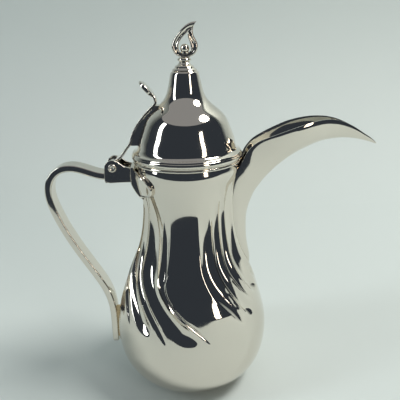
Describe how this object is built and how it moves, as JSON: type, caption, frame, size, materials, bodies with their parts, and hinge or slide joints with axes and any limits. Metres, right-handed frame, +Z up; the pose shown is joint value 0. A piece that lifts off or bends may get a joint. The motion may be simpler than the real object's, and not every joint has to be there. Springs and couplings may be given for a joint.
{
  "type": "coffee pot",
  "caption": "Polished steel dallah coffee pot with a fluted belly, an open crescent beak, a curved strap handle and a bell-shaped hinged lid with a flame finial.",
  "frame": {"origin": "centre of the foot's underside, on the table", "axes": "+Z up along the pot's axis, +X towards the beak, -X towards the handle, +Y to the far side when the beak points right"},
  "size_m": [0.2492, 0.1222, 0.2806],
  "materials": {
    "polished_steel": "mirror polished stainless steel",
    "plain_steel": "plain satin stainless steel",
    "braze": "smoothed brazing alloy"
  },
  "bodies": {
    "root": {"body_shell": "polished_steel", "base_disc": "plain_steel", "mouth_ring": "polished_steel", "spout_shell": "polished_steel", "strainer_plate": "plain_steel", "saddle_plate": "polished_steel", "hinge_bracket": "polished_steel", "hinge_pin": "plain_steel", "hinge_pin_washers": "polished_steel", "handle_strap": "polished_steel", "handle_foot_pad": "braze"},
    "lid": {"lid_dome": "polished_steel", "lid_flange_band": "polished_steel", "lid_locating_collar": "plain_steel", "thumb_lever": "polished_steel", "lever_mount": "polished_steel", "finial_base": "polished_steel", "finial_collar": "polished_steel", "finial_bead_ring": "polished_steel", "finial_loop": "polished_steel", "finial_cup": "polished_steel", "finial_ball": "polished_steel", "finial_stud": "plain_steel", "finial_washer": "plain_steel", "finial_nut": "plain_steel"}
  },
  "joints": [
    {"name": "lid_hinge", "type": "hinge", "parent": "root", "child": "lid", "pos_m": [-0.0551, 0, 0.181], "axis": [0, -1, 0], "range_deg": [0, 110]}
  ]
}
